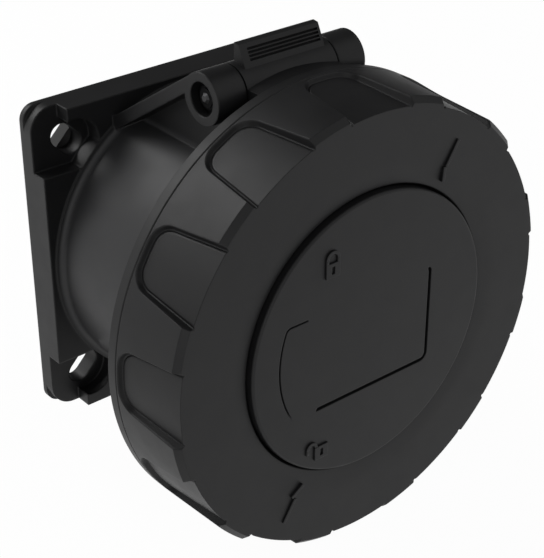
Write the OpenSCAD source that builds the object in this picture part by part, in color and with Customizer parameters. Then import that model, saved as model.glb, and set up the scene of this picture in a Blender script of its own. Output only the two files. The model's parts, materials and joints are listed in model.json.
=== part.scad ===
/* [Flange] */
// Width and height of the square flange
flange_w = 75; // [74:0.5:90]
// Thickness of the flange body
flange_t = 8.2; // [6.5:0.1:12]
// Thickness left under each corner pad
pad_t = 4.2; // [3:0.1:5]
// Thickness of the sharp-cornered foot layer at the back of the flange
foot_t = 1.5; // [0.8:0.1:2.5]
// Corner radius of the flange body
flange_corner_r = 5.5; // [3:0.1:8]
// Corner radius of the foot layer
foot_corner_r = 3.5; // [2:0.1:8]
// Distance between fixing holes, centre to centre, both ways
fix_pitch = 60; // [58:0.5:62]
// Width of each fixing slot
slot_w = 5.5; // [4:0.1:6.5]
// Travel of the screw along each slot
slot_travel = 3; // [1:0.1:4]
// Radius of the pad round each fixing slot
pad_r = 5.8; // [4.5:0.1:6.5]
// Height above the centre line at which the corner pads start
pad_from_y = 23.2; // [21:0.1:25]
// Distance from the centre line at which the corner pads reach the top and bottom edges
pad_from_x = 30.65; // [29:0.05:33]

/* [Panel gasket] */
// Thickness of the panel gasket
gasket_t = 3.3; // [1.5:0.1:5]
// How far the gasket stays inside the flange edge
gasket_inset = 2.4; // [0.2:0.1:3]
// Distance from the axis to the cut across each gasket corner
gasket_cut = 38.6; // [37.5:0.1:41]

/* [Tube] */
// Outer radius of the tube
tube_r = 34.8; // [34.3:0.1:36]
// Wall thickness of the tube
tube_wall = 2.5; // [1.8:0.1:3]
// Distance from the flange back to the rim of the tube
tube_len = 60; // [55:0.5:70]
// Radius of the fillet between tube and flange
tube_fillet = 1.6; // [0.5:0.1:2.5]
// Height of the step round the foot of that fillet
root_step = 0.4; // [0.2:0.1:0.8]
// Width of the keyway at the bottom of the tube
keyway_w = 7; // [5:0.1:10]
// Depth of the keyway in the tube wall
keyway_depth = 1.2; // [0.6:0.1:1.4]

/* [Bayonet] */
// Number of bayonet lugs on the ring
lug_count = 3; // [2:1:3]
// Angle of the first lug when the ring is unlocked
lug_angle = 30; // [26:1:32]
// Width of each lug along the ring
lug_w = 8; // [5:0.5:9]
// Thickness of each lug along the axis
lug_t = 3; // [2:0.1:3.5]
// Height of each lug above the inner wall of the ring
lug_h = 6.3; // [5:0.1:6.8]
// Outer radius of the fixed ramps
ramp_r = 44.3; // [43:0.1:44.4]
// Thickness of each ramp along the axis
ramp_t = 3.3; // [2:0.1:4]
// Angle covered by each ramp
ramp_span = 28; // [20:1:28]
// Angle between a lug at rest and the start of its ramp
ramp_gap = 17; // [15:1:18]
// Clearance along the axis between a lug and the ramp that it locks under
lock_clear = 0.6; // [0.4:0.1:1.5]
// Distance from the back of the ring to the back of its lugs
lug_set_in = 1.4; // [0.8:0.1:1.6]
// Width of the stop at the far end of each ramp
stop_w = 2; // [1.5:0.1:3]

/* [Hinge] */
// Height of the hinge axis above the socket axis
hinge_up = 47; // [46.5:0.1:48]
// Distance of the hinge axis behind the back of the ring
hinge_behind = 8.95; // [8.4:0.05:10]
// Outer radius of the hinge barrel
barrel_r = 5.6; // [5.2:0.1:6]
// Width across both hinge lugs
hinge_w = 38.6; // [36:0.1:44]
// Width of the lid knuckle between the lugs
knuckle_w = 23.8; // [22:0.1:26]
// Side clearance between knuckle and lug
knuckle_gap = 0.35; // [0.3:0.05:0.6]
// Radius of the hinge pin
pin_r = 2; // [1.5:0.1:2.4]
// Radial clearance of the knuckle on the pin
pin_run = 0.08; // [0.03:0.01:0.1]
// Radius of the counterbore at each end of the hinge
counterbore_r = 3.6; // [3.2:0.1:4]
// Depth of each counterbore
counterbore_depth = 2.2; // [1.2:0.1:3]
// Thickness of the sloping rib under each hinge lug
rib_t = 2.8; // [2:0.1:3.5]
// Slope of the hinge ribs
rib_slope = 33; // [30:0.5:34]
// Thickness of the web below each rib
web_t = 2; // [1.2:0.1:3]
// Width of the space for the spring inside the knuckle
spring_space_w = 14; // [10:0.5:15]
// Radius of the space for the spring inside the knuckle
spring_space_r = 4.3; // [4.1:0.1:4.6]
// Wire radius of the lid spring
spring_wire_r = 0.5; // [0.4:0.05:0.55]
// Length of the spring leg that bears on the tube
spring_leg = 13; // [12:0.5:15]

/* [Thumb tab] */
// Width of the thumb tab
tab_w = 20.8; // [16:0.1:22]
// Height of the thumb tab above the hinge axis
tab_rise = 9.5; // [8:0.1:10]
// Thickness of the thumb tab at its top
tab_t = 1.4; // [1:0.1:2]
// Number of grip grooves on the thumb tab
groove_count = 4; // [3:1:4]
// Distance between grip grooves
groove_pitch = 0.75; // [0.6:0.05:0.9]
// Radius of each grip groove
groove_r = 0.24; // [0.15:0.01:0.3]

/* [Lid] */
// Thickness of the lid plate
plate_t = 2.5; // [2:0.1:3]
// Clearance between the lid plate and the wall of the ring
plate_clear = 1.4; // [0.8:0.1:2]
// Thickness of the lid arm inside the ring
arm_t = 2.6; // [2:0.1:2.7]
// Clearance between the lid arm and the wall of the ring
arm_clear = 0.4; // [0.3:0.05:0.5]
// Thickness of the lid gasket
lid_gasket_t = 2.2; // [1.5:0.1:3]
// Width of the lid gasket beyond the tube wall on each side
lid_gasket_over = 1.6; // [1:0.1:2.5]
// Clearance of the lid gasket in front of the tube rim
seal_clear = 0.3; // [0.3:0.05:0.6]
// Thickness of the two lips that hold the lid gasket
lip_t = 1.4; // [1:0.1:1.6]
// Height of the two lips that hold the lid gasket
lip_h = 1.5; // [1:0.1:1.8]
// Outer radius of the front disc
disc_r = 32.9; // [31:0.1:34]
// Thickness of the front disc
disc_t = 3.5; // [3:0.1:4]
// Radius of the round shoulder of the disc
disc_edge_r = 1.25; // [0.5:0.05:1.8]
// Depth of the label field in the disc
field_depth = 0.5; // [0.3:0.1:0.9]
// Radius of the curved side of the label field
field_r = 24.9; // [23:0.1:26]
// Distance from the axis to the straight side of the label field
field_side = 16.7; // [15:0.1:18]
// Height of the top of the label field above the axis
field_top = 9.9; // [8:0.1:12]
// Depth of the bottom of the label field below the axis
field_bottom = 13; // [11:0.1:15]
// Corner radius of the label field
field_corner_r = 2; // [0.5:0.1:3]
// Radius of the hub on which the ring turns
hub_r = 25.6; // [24:0.1:27]
// Number of lid screws
lid_screw_count = 4; // [3:1:6]
// Radius of the circle of lid screws
lid_screw_ring_r = 19; // [16:0.5:21]
// Radius of the lid screw shank
lid_screw_r = 1.5; // [1.2:0.1:1.8]
// Length of each lid screw inside the hub
lid_screw_grip = 4; // [3:0.5:5]

/* [Locking ring] */
// Radius of the ring at its back lip
ring_r = 50.8; // [50.6:0.1:52]
// Distance from the lid plate back to the back of the ring
ring_behind = 13.35; // [12.9:0.05:13.5]
// Wall thickness of the ring at its back lip
ring_wall = 3; // [2.9:0.1:3.1]
// How far the ring narrows towards the front
ring_taper = 0.6; // [0.2:0.1:1]
// Chamfer at the front edge of each land
ring_chamfer = 1.2; // [0.5:0.1:1.6]
// Number of finger pockets round the ring
pocket_count = 12; // [8:1:12]
// Turn of the first pocket from the horizontal
pocket_turn = -1.5; // [-5:0.5:5]
// Depth of the finger pockets at their back
pocket_depth = 0.65; // [0.4:0.05:1.2]
// Depth of the finger pockets at the front face
pocket_front_depth = 1.7; // [1.3:0.1:1.9]
// Half width of a pocket near its back
pocket_back_w = 6.6; // [5:0.1:7]
// Half width of a pocket at the front face
pocket_front_w = 8.8; // [7:0.1:10]
// Corner radius at the back of a pocket
pocket_corner_r = 4; // [2:0.1:4.8]
// Width of the plain lip behind the pockets
lip_w = 3.35; // [2.5:0.05:5]
// Radial clearance of the ring on its hub
ring_run = 0.08; // [0.03:0.01:0.1]
// Clearance of the ring between lid plate and disc
ring_float = 0.3; // [0.3:0.05:0.5]
// Thickness of the ring web under the disc
ring_web_t = 2; // [1.6:0.1:2.5]
// Distance of the ring face behind the face of the disc
face_behind = 1; // [0.5:0.1:1.5]
// Rise of the ring face from the disc to the rim
dish_rise = 0.3; // [0.1:0.1:0.8]
// Thickness of the ring face beyond the disc
face_t = 2.5; // [2:0.1:3.5]
// Gap round the disc
disc_gap = 0.4; // [0.3:0.05:0.8]

/* [Contacts] */
// Distance of the circle of contacts inside the edge of the column
contact_in = 9; // [8.5:0.1:10]
// Bore radius of the line and neutral sleeves
line_bore_r = 3; // [2.5:0.1:3.2]
// Bore radius of the earth sleeve
earth_bore_r = 4; // [3.5:0.1:4.2]
// Wall thickness of the sleeves
sleeve_wall = 1; // [0.8:0.1:1.2]
// Depth of the sleeve bores
sleeve_depth = 30; // [24:0.5:34]
// Depth of the sleeves below the face of the carrier
sleeve_recess = 2; // [1:0.1:3]
// Length of each sleeve behind its slit
slit_root = 8; // [4:0.5:12]
// Width of the slit that lets a sleeve open
slit_w = 0.8; // [0.4:0.1:1]
// Wire radius of the spring rings round the sleeves
grip_wire_r = 0.45; // [0.3:0.05:0.5]
// Distance from the front of a sleeve to its spring ring
grip_in = 5; // [3:0.5:8]
// Depth of the groove in each sleeve for its spring ring
grip_groove = 0.3; // [0.15:0.05:0.4]
// Radius of the shank between sleeve and terminal
shank_r = 3; // [2.5:0.1:3.2]
// Length of the shank in front of the base floor
shank_len = 3; // [2:0.5:6]
// Radius of the terminal barrels
terminal_r = 4.7; // [4.2:0.1:5]
// Length of the terminal barrels behind the base floor
terminal_len = 18; // [14:0.5:20]
// Thickness of the collar by which each contact bears on the base floor
collar_t = 2; // [1:0.1:3]
// Radius of the wire holes
wire_bore_r = 2.9; // [2:0.1:3]
// Radius of the terminal screws
terminal_screw_r = 1.9; // [1.5:0.1:2.2]
// Distance from the back of a terminal to its screw
terminal_screw_in = 7; // [5:0.5:8]

/* [Contact carrier] */
// Gap round the contact column for the shroud of the plug
shroud_gap = 4.8; // [4.6:0.1:5.2]
// Depth of the column face below the rim of the tube
column_recess = 3; // [1:0.1:6]
// Radius of the screw that holds the column to the terminal base
centre_screw_r = 2; // [1.5:0.1:2.5]
// Length of that screw inside the column
centre_screw_grip = 8; // [6:0.5:20]

/* [Terminal base] */
// Thickness of the base floor that holds the terminals
floor_t = 10; // [8:0.1:12]
// How far the rear skirt is set in from the bore of the tube
skirt_in = 0.8; // [0.5:0.1:1.3]
// Wall thickness of the rear skirt
skirt_wall = 2.2; // [1.6:0.1:3]
// Depth of the relief in the skirt under the panel gasket
skirt_relief = 0.6; // [0.5:0.1:1]
// Length of the rear skirt behind the flange
skirt_len = 9; // [6:0.5:12]
// Radius of the windows through which the terminal screws are turned
window_r = 3; // [2.6:0.1:3.4]
// Radial clearance of the base in the tube
base_clear = 0.15; // [0.05:0.05:0.3]
// Distance of the base screws outside the wall of the tube
ear_out = 0.7; // [0.4:0.1:1.2]
// Angle of the base screws above the horizontal
ear_angle = 30; // [26:1:32]
// Radius of the ears that take the base screws
ear_r = 3.2; // [3:0.1:3.4]
// Thickness of the ears
ear_t = 2.5; // [2:0.1:3]
// Radius of the base screw shank
base_screw_r = 1.45; // [1.2:0.05:1.5]
// Wire radius of the base seal
seal_wire_r = 0.9; // [0.7:0.05:1]

/* [Hidden] */
$fn = 96;

// Small overlap that joins shapes of one solid, and the overshoot of every cut
weld = 0.5;
cut = 1;

// Radial clearance of a press fit or thread
snug = 0.02;

// Flange and tube
half_w = flange_w / 2;
slot_c = fix_pitch / 2;
slot_in = slot_c - slot_travel / sqrt(2);
slot_mid = (slot_c + slot_in) / 2;
tube_bore_r = tube_r - tube_wall;
pad_circle_r = tube_r + tube_fillet;
gasket_hole_clear = 0.1;
stop_set_in = 1;
pilot_floor = 1;
rib_sink = 0.15;

// Stack of lid parts along the axis
lid_gasket_z = tube_len + seal_clear;
plate_z = lid_gasket_z + lid_gasket_t;
gasket_out_r = tube_r + lid_gasket_over;
gasket_in_r = tube_bore_r - lid_gasket_over;
gasket_fit = 0.1;
hub_z = plate_z + plate_t;
web_z = hub_z + ring_float;
web_top = web_z + ring_web_t;
washer_t = 0.2;
washer_clear = 0.05;
disc_z = web_top + washer_t + 2 * washer_clear;
disc_front = disc_z + disc_t;
face_z = disc_front - face_behind;

// Ring, arm and bayonet
ring_from = plate_z - ring_behind;
ring_bore_r = ring_r - ring_wall;
arm_out_r = ring_bore_r - arm_clear;
arm_in_r = arm_out_r - arm_t;
arm_top_r = ring_r - 0.6;
arm_front = ring_from - 0.35;
plate_r = ring_bore_r - plate_clear;
lug_back = ring_from + lug_set_in;
ramp_back = lug_back + lug_t + lock_clear;
lug_in_r = ring_bore_r - lug_h;
pocket_back = ring_from + lip_w;
land_front_r = ring_r - ring_taper;
floor_back_r = ring_r - 0.2 - pocket_depth;
floor_front_r = land_front_r - pocket_front_depth;
dish_r = disc_r + disc_gap;
face_step_r = dish_r + ring_web_t;
dish_power = 1.7;

// Hinge
hinge_fwd = ring_from - hinge_behind;
lug_from = knuckle_w / 2 + knuckle_gap;
hinge_half = hinge_w / 2;
lug_len = hinge_half - lug_from;
web_reach = 3;
cap_rim_t = 0.4;
cap_t = 0.7;
cap_r = counterbore_r - 0.25;
cap_clear = 0.05;
pin_stand = 0.4;
pin_len = 2 * (hinge_half - counterbore_depth + cap_t + pin_stand);

// Thumb tab, drawn from the hinge line as distance forward and height
tab_back = 0.8;
tab_lean = 30;
tab_top = [tab_t - tab_back, tab_rise - 0.2];
tab_foot = barrel_r * [sin(tab_lean), cos(tab_lean)];
groove_start = 1.2;
groove_margin = 1.2;

// Carrier and contacts
column_r = tube_bore_r - shroud_gap;
contact_ring_r = column_r - contact_in;
skirt_r = tube_bore_r - skirt_in;
ear_ring_r = tube_r + ear_out;
column_front = tube_len - column_recess;
sleeve_front = column_front - sleeve_recess;
skirt_in_r = skirt_r - skirt_wall;
sleeve_back = sleeve_front - sleeve_depth;
base_front = sleeve_back - shank_len;
base_back = base_front - floor_t;
sleeve_floor_t = 1.5;
socket_clear = 1.4;
contact_clear = 0.05;
slit_from = sleeve_back + slit_root;
contact_count = 5;
earth_angle = 270;
contact_step = 360 / contact_count;
terminal_back = base_back - terminal_len;
terminal_screw_z = terminal_back + terminal_screw_in;
terminal_floor_t = 3;
screw_from = wire_bore_r + 0.4;
screw_len = skirt_in_r - contact_ring_r - screw_from - 1;
driver_slot_w = 0.7;
driver_slot_depth = 1;
grip_z = sleeve_front - grip_in;
seal_ring_r = tube_bore_r - seal_wire_r;
seal_land = 0.8;
seal_z = base_front - 2 * seal_wire_r - seal_land;
seal_groove_clear = 0.1;
ear_pocket_clear = 0.2;
screw_hole_clear = 0.15;
base_screw_len = flange_t - 2 * pilot_floor;
centre_screw_len = floor_t + centre_screw_grip;
lid_screw_len = plate_t + lid_screw_grip;
pan_head_t = 1.5;

// Spring: a leg on the tube that runs into the bottom of the coil
spring_mean_r = pin_r + 0.5 + spring_wire_r;
spring_pitch = 2 * spring_wire_r + 0.15;
spring_turns = floor((spring_space_w - 2.4) / spring_pitch);
spring_len = spring_turns * spring_pitch;
spring_sides = 8;
spring_steps = 14;
leg_slope = 21;
opening_from = 114;
opening_to = 254;

// Rest on the tube that the tip of the leg bears on, from the hinge line
rest_w = 5;
rest_back = -14;
rest_len = 7;
rest_clear = 0.05;
rest_drop = spring_mean_r * cos(leg_slope) + spring_leg * sin(leg_slope) + spring_wire_r + rest_clear;

// Colours
black_plastic = [0.03, 0.03, 0.032];
soft_rubber = [0.05, 0.05, 0.05];
grey_plastic = [0.11, 0.11, 0.12];
bright_metal = [0.78, 0.76, 0.72];
steel = [0.62, 0.63, 0.65];

// Places children whose own Z runs along the socket axis, out of the panel
module on_axis() rotate([90, 0, 0]) children();

// Cylinder along the axis from one distance to another
module rod(r, from, to) translate([0, 0, from]) cylinder(r = r, h = to - from);

module tube(r_out, r_in, from, to) {
    difference() {
        rod(r_out, from, to);
        rod(r_in, from - cut, to + cut);
    }
}

// Cylinder along the hinge line, centred on it
module hinge_rod(r, len, x = 0) {
    translate([x, hinge_up, hinge_fwd]) rotate([0, 90, 0]) cylinder(r = r, h = len, center = true);
}

// Extrudes a side profile, drawn as distance along the axis and height, across the width
module across(w, x = 0) {
    translate([x, 0, 0]) rotate([0, -90, 0]) linear_extrude(w, center = true) children();
}

// Four copies, one in each corner
module corners() {
    for (i = [0, 1], j = [0, 1]) mirror([i, 0, 0]) mirror([0, j, 0]) children();
}

module both_sides() {
    for (i = [0, 1]) mirror([i, 0, 0]) children();
}

// Square with true round corners
module round_square(w, r) {
    square([w, w - 2 * r], center = true);
    square([w - 2 * r, w], center = true);
    corners() translate([w / 2 - r, w / 2 - r]) circle(r);
}

// Fixing slots, each running from its nominal screw place towards the axis
module fixing_slots() {
    through = flange_t + 2 * cut;
    for (a = [45:90:315]) rotate([0, 0, a]) translate([slot_mid * sqrt(2), 0, flange_t / 2]) {
        for (end = [-1, 1]) translate([end * slot_travel / 2, 0, 0])
            cylinder(d = slot_w, h = through, center = true);
        cube([slot_travel, slot_w, through], center = true);
    }
}

// Outline of one recessed corner pad
module pad_outline() {
    reach = half_w + cut;
    difference() {
        union() {
            translate([pad_from_x, pad_from_y]) square(reach - pad_from_y);
            translate([slot_mid - pad_r, pad_from_y]) square([reach, slot_mid - pad_from_y]);
            translate([slot_mid, slot_mid]) circle(pad_r);
        }
        circle(pad_circle_r);
    }
}

module flange_plate() {
    difference() {
        union() {
            linear_extrude(flange_t) round_square(flange_w, flange_corner_r);
            linear_extrude(foot_t) round_square(flange_w, foot_corner_r);
        }
        corners() translate([0, 0, pad_t]) linear_extrude(flange_t) pad_outline();
    }
}

// Concave fillet between the tube and the face of the flange, on a small step
module tube_root() {
    rotate_extrude() difference() {
        translate([tube_r - weld, flange_t - weld])
            square([tube_fillet + weld, root_step + tube_fillet + weld]);
        translate([tube_r + tube_fillet, flange_t + root_step + tube_fillet]) circle(tube_fillet);
    }
}

// Wedge between two angles, used to cut sectors out of rings
module wedge(r, from, to) {
    steps = 6;
    polygon(concat([[0, 0]], [for (i = [0:steps]) let (a = from + (to - from) * i / steps)
        [r * cos(a), r * sin(a)] / cos((to - from) / steps / 2)]));
}

// Fixed ramps that the lugs of the ring turn behind
module bayonet_ramps() {
    for (i = [0:lug_count - 1]) {
        start = lug_angle + i * 360 / lug_count - ramp_gap;
        intersection() {
            tube(ramp_r, tube_r - weld, ramp_back, ramp_back + ramp_t);
            translate([0, 0, ramp_back - cut]) linear_extrude(ramp_t + 2 * cut)
                wedge(ramp_r + cut, start - ramp_span, start);
        }
        // Stop near the far end of the ramp
        rotate([0, 0, start - ramp_span + stop_set_in]) translate([tube_r - weld, 0, lug_back - weld])
            cube([ramp_r - tube_r - weld, stop_w, ramp_back - lug_back + ramp_t / 2 + weld]);
    }
}

// Side outline of a sloping rib, all but tangent to the hinge barrel
module rib_outline() {
    rib_len = (hinge_fwd - flange_t + weld) / cos(rib_slope);
    translate([hinge_fwd, hinge_up]) rotate(rib_slope) translate([-rib_len, barrel_r - rib_sink - rib_t])
        square([rib_len, rib_t]);
}

module web_outline() {
    reach = hinge_fwd * 2;
    intersection() {
        translate([flange_t - weld, tube_r - 2 * tube_wall])
            square([hinge_fwd + web_reach - flange_t + weld, hinge_up - tube_r + 2 * tube_wall]);
        translate([hinge_fwd, hinge_up]) rotate(rib_slope) translate([-reach, -reach])
            square([2 * reach, reach + barrel_r - rib_t / 2]);
    }
}

module hinge_lug() {
    hinge_rod(barrel_r, lug_len, lug_from + lug_len / 2);
    across(lug_len, lug_from + lug_len / 2) rib_outline();
    across(web_t, lug_from + web_t / 2) web_outline();
}

// Two copies, one at each carrier screw
module at_ears() {
    for (a = [ear_angle, ear_angle + 180]) rotate([0, 0, a]) translate([ear_ring_r, 0, 0]) children();
}

// Outline of the carrier ears, also used for their pocket in the back of the flange
module ear_shape(r, h) {
    at_ears() cylinder(r = r, h = h);
    translate([0, 0, h / 2]) rotate([0, 0, ear_angle]) cube([2 * ear_ring_r, 2 * r, h], center = true);
}

// Block on the tube under the tip of the spring leg
module spring_rest() {
    translate([-spring_len / 2 - rest_w / 2, tube_r - 2 * weld, hinge_fwd + rest_back])
        cube([rest_w, hinge_up - rest_drop - tube_r + 2 * weld, rest_len]);
}

module flange_housing() color(black_plastic) on_axis() difference() {
    union() {
        flange_plate();
        tube_root();
        rod(tube_r, 0, tube_len);
        bayonet_ramps();
        both_sides() hinge_lug();
        spring_rest();
    }
    rod(tube_bore_r, -cut, tube_len + cut);
    translate([-keyway_w / 2, -tube_bore_r - keyway_depth, base_front])
        cube([keyway_w, keyway_depth + tube_wall, tube_len]);
    fixing_slots();
    translate([0, 0, -cut]) ear_shape(ear_r + ear_pocket_clear, ear_t + ear_pocket_clear + cut);
    at_ears() rod(base_screw_r + snug, 0, flange_t - pilot_floor);
    hinge_rod(pin_r + snug, hinge_w + cut);
    both_sides() hinge_rod(counterbore_r, 2 * counterbore_depth, hinge_half);
}

module panel_gasket() color(soft_rubber) on_axis() difference() {
    side = flange_w - 2 * gasket_inset;
    translate([0, 0, -gasket_t]) linear_extrude(gasket_t) intersection() {
        square(side, center = true);
        rotate(45) square(2 * gasket_cut, center = true);
    }
    rod(skirt_r + gasket_hole_clear, -gasket_t - cut, cut);
    // Lobes of the hole round the heads of the base screws
    translate([0, 0, -gasket_t - cut]) ear_shape(ear_r, gasket_t + 2 * cut);
}

// Angle of a contact counted from the earth, clockwise as the user sees it
function contact_angle(i) = earth_angle - i * contact_step;

module at_contact(i) rotate([0, 0, contact_angle(i)]) translate([contact_ring_r, 0, 0]) children();

// Bore of a sleeve, wider on the earth contact, and the radii that follow from it
function bore_of(i) = i == 0 ? earth_bore_r : line_bore_r;
function sleeve_r(i) = bore_of(i) + sleeve_wall;
function socket_r(i) = sleeve_r(i) + socket_clear;
function collar_r(i) = socket_r(i) - contact_clear;

// Column round the sleeves
module contact_carrier() color(grey_plastic) on_axis() difference() {
    rod(column_r, base_front, column_front);
    for (i = [0:contact_count - 1]) at_contact(i) rod(socket_r(i), base_front - cut, column_front + cut);
    rod(centre_screw_r + snug, base_front - cut, base_front + centre_screw_grip + cut);
}

// Base that closes the tube, holds the terminals and carries the skirt that centres it in the panel
module terminal_base() color(grey_plastic) on_axis() difference() {
    union() {
        rod(tube_bore_r - base_clear, base_back, base_front);
        rod(skirt_r, -skirt_len, -gasket_t);
        rod(skirt_r - skirt_relief, -gasket_t - weld, base_back + weld);
        ear_shape(ear_r, ear_t);
    }
    rod(skirt_in_r, -skirt_len - cut, base_back);
    // Groove for the seal round the floor
    tube(tube_bore_r + cut, seal_ring_r - seal_wire_r - seal_groove_clear / 2,
        seal_z - seal_groove_clear, seal_z + 2 * seal_wire_r + seal_groove_clear);
    for (i = [0:contact_count - 1]) at_contact(i)
        rod(terminal_r + contact_clear, base_back - cut, base_front + cut);
    // Windows for turning the terminal screws once the base is drawn out of the tube
    for (i = [0:contact_count - 1]) rotate([0, 0, contact_angle(i)])
        translate([skirt_in_r - cut, 0, terminal_screw_z]) rotate([0, 90, 0])
            cylinder(r = window_r, h = skirt_wall + 2 * cut);
    rod(centre_screw_r + screw_hole_clear, base_back - cut, base_front + cut);
    at_ears() rod(base_screw_r + screw_hole_clear, -cut, ear_t + cut);
}

module base_seal() color(soft_rubber) on_axis() translate([0, 0, seal_z + seal_wire_r])
    rotate_extrude() translate([seal_ring_r - snug, 0]) circle(seal_wire_r - snug);

// Pan-head screw pointing along +Z, its head seated at zero, with a cross recess
module pan_screw(r, len, head_r) {
    recess_w = 0.28 * head_r;
    difference() {
        union() {
            translate([0, 0, -pan_head_t]) cylinder(r = head_r, h = pan_head_t);
            cylinder(r = r, h = len);
        }
        for (a = [0, 90]) rotate([0, 0, a]) translate([0, 0, -pan_head_t])
            cube([5 * recess_w, recess_w, pan_head_t], center = true);
    }
}

module base_screws() color(steel) on_axis() at_ears()
    pan_screw(base_screw_r, base_screw_len, ear_r - weld);

module centre_screw() color(steel) on_axis() translate([0, 0, base_back])
    pan_screw(centre_screw_r, centre_screw_len, 2 * centre_screw_r);

// Sleeve, shank, collar and terminal barrel of one contact, turned from one bar
module contact(i) {
    bore_r = bore_of(i);
    out_r = sleeve_r(i);
    color(bright_metal) on_axis() at_contact(i) difference() {
        union() {
            rod(out_r, sleeve_back, sleeve_front);
            rod(shank_r, base_front, sleeve_back + weld);
            rod(collar_r(i), base_front, base_front + collar_t);
            rod(terminal_r, terminal_back, base_front + weld);
        }
        rod(bore_r, sleeve_back + sleeve_floor_t, sleeve_front + cut);
        translate([-slit_w / 2, -out_r - cut, slit_from])
            cube([slit_w, 2 * out_r + 2 * cut, sleeve_depth]);
        // Groove that keeps the spring ring in place
        tube(out_r + cut, out_r - grip_groove, grip_z - grip_wire_r - snug, grip_z + grip_wire_r + snug);
        rod(wire_bore_r, terminal_back - cut, base_back - terminal_floor_t);
        translate([0, 0, terminal_screw_z]) rotate([0, 90, 0])
            cylinder(r = terminal_screw_r + snug, h = terminal_r + cut);
    }
}

module contact_earth() contact(0);
module contact_phase_1() contact(1);
module contact_phase_2() contact(2);
module contact_phase_3() contact(3);
module contact_neutral() contact(4);

// Wire rings that keep the slit sleeves closed on the plug pins
module contact_grip_rings() color(steel) on_axis()
    for (i = [0:contact_count - 1]) at_contact(i) translate([0, 0, grip_z])
        rotate_extrude() translate([sleeve_r(i) - grip_groove + grip_wire_r + snug, 0]) circle(grip_wire_r);

module terminal_screws() color(steel) on_axis()
    for (i = [0:contact_count - 1]) at_contact(i)
        translate([screw_from, 0, terminal_screw_z]) rotate([0, 90, 0]) difference() {
            cylinder(r = terminal_screw_r, h = screw_len);
            translate([0, 0, screw_len])
                cube([2 * terminal_screw_r + cut, driver_slot_w, 2 * driver_slot_depth], center = true);
        }

module hinge_pin() color(steel) on_axis() hinge_rod(pin_r, pin_len);

// Domed push-on caps that hold the pin in the counterbores
module pin_caps() color(steel) on_axis() both_sides()
    translate([hinge_half - counterbore_depth + cap_clear, hinge_up, hinge_fwd]) rotate([0, 90, 0])
        difference() {
            union() {
                cylinder(r = cap_r, h = cap_rim_t);
                cylinder(r1 = pin_r + 0.9, r2 = pin_r + 0.5, h = cap_t);
            }
            translate([0, 0, -cut]) cylinder(r = pin_r + snug, h = cap_t + 2 * cut);
        }

// Centre line of the spring: the leg comes in from behind, tangent to the bottom of the coil
function coil_point(t) = let (a = 360 * t * spring_turns + 270 + leg_slope)
    [(t - 0.5) * spring_len, spring_mean_r * sin(a), spring_mean_r * cos(a)];
leg_tip = coil_point(0) - spring_leg * [0, sin(leg_slope), cos(leg_slope)];
spring_line = concat([leg_tip],
    [for (i = [0:spring_turns * spring_steps]) coil_point(i / (spring_turns * spring_steps))]);
module hinge_spring() color(steel) on_axis() translate([0, hinge_up, hinge_fwd])
    wire(spring_line, spring_wire_r, spring_sides);

function unit(v) = v / norm(v);

// Round wire swept along a list of points
module wire(line, r, sides) {
    last = len(line) - 1;
    heading = [for (i = [0:last]) unit(line[min(i + 1, last)] - line[max(i - 1, 0)])];
    turn = 360 / sides;
    rings = [for (i = [0:last])
        let (side = unit(cross(heading[i], [1, 0, 0])), lift = cross(side, heading[i]))
        [for (k = [0:sides - 1]) line[i] + r * (cos(k * turn) * side + sin(k * turn) * lift)]];
    points = [for (ring = rings) each ring];
    walls = [for (i = [0:last - 1], k = [0:sides - 1]) let (n = (k + 1) % sides)
        [i * sides + k, i * sides + n, (i + 1) * sides + n, (i + 1) * sides + k]];
    ends = [[for (k = [sides - 1:-1:0]) k], [for (k = [0:sides - 1]) last * sides + k]];
    polyhedron(points, concat(walls, ends));
}

// Side outline of the thumb tab, drawn from the hinge line
module tab_outline() {
    polygon([[-tab_back, 0], [-tab_back, tab_rise], tab_top, tab_foot, [0, 0]]);
}

module thumb_tab() {
    along = unit(tab_foot - tab_top);
    translate([0, hinge_up, hinge_fwd]) difference() {
        across(tab_w) tab_outline();
        for (i = [0:groove_count - 1]) {
            p = tab_top + along * (groove_start + i * groove_pitch);
            translate([groove_margin / 2, p[1], p[0]]) rotate([0, 90, 0])
                cylinder(r = groove_r, h = tab_w - 2 * groove_margin, center = true);
        }
    }
}

// Arm that leaves the knuckle, passes inside the ring and joins the plate
module lid_arm() {
    intersection() {
        union() {
            tube(arm_top_r, arm_in_r, hinge_fwd, arm_front);
            tube(arm_out_r, arm_in_r, hinge_fwd, hub_z);
        }
        translate([-knuckle_w / 2, 0, 0]) cube([knuckle_w, 2 * ring_r, 2 * ring_from]);
    }
}

module at_lid_screws() {
    step = 360 / lid_screw_count;
    for (i = [0:lid_screw_count - 1]) rotate([0, 0, (i + 0.5) * step])
        translate([lid_screw_ring_r, 0, 0]) children();
}

// Two lips behind the plate with the gasket between them
module gasket_lips() {
    tube(gasket_out_r + gasket_fit + lip_t, gasket_out_r + gasket_fit, plate_z - lip_h, plate_z + weld);
    tube(gasket_in_r - gasket_fit, gasket_in_r - gasket_fit - lip_t, plate_z - lip_h, plate_z + weld);
}

module lid_cover() color(black_plastic) on_axis() difference() {
    union() {
        hinge_rod(barrel_r, knuckle_w);
        thumb_tab();
        lid_arm();
        rod(plate_r, plate_z, hub_z);
        gasket_lips();
    }
    hinge_rod(pin_r + pin_run, knuckle_w + cut);
    hinge_rod(spring_space_r, spring_space_w);
    // Opening at the back of the knuckle in which the spring leg swings
    across(spring_space_w) translate([hinge_fwd, hinge_up]) wedge(barrel_r + cut, opening_from, opening_to);
    at_lid_screws() rod(lid_screw_r + screw_hole_clear, plate_z - cut, hub_z + cut);
}

module lid_gasket() color(soft_rubber) on_axis()
    tube(gasket_out_r, gasket_in_r, lid_gasket_z, plate_z);

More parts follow.
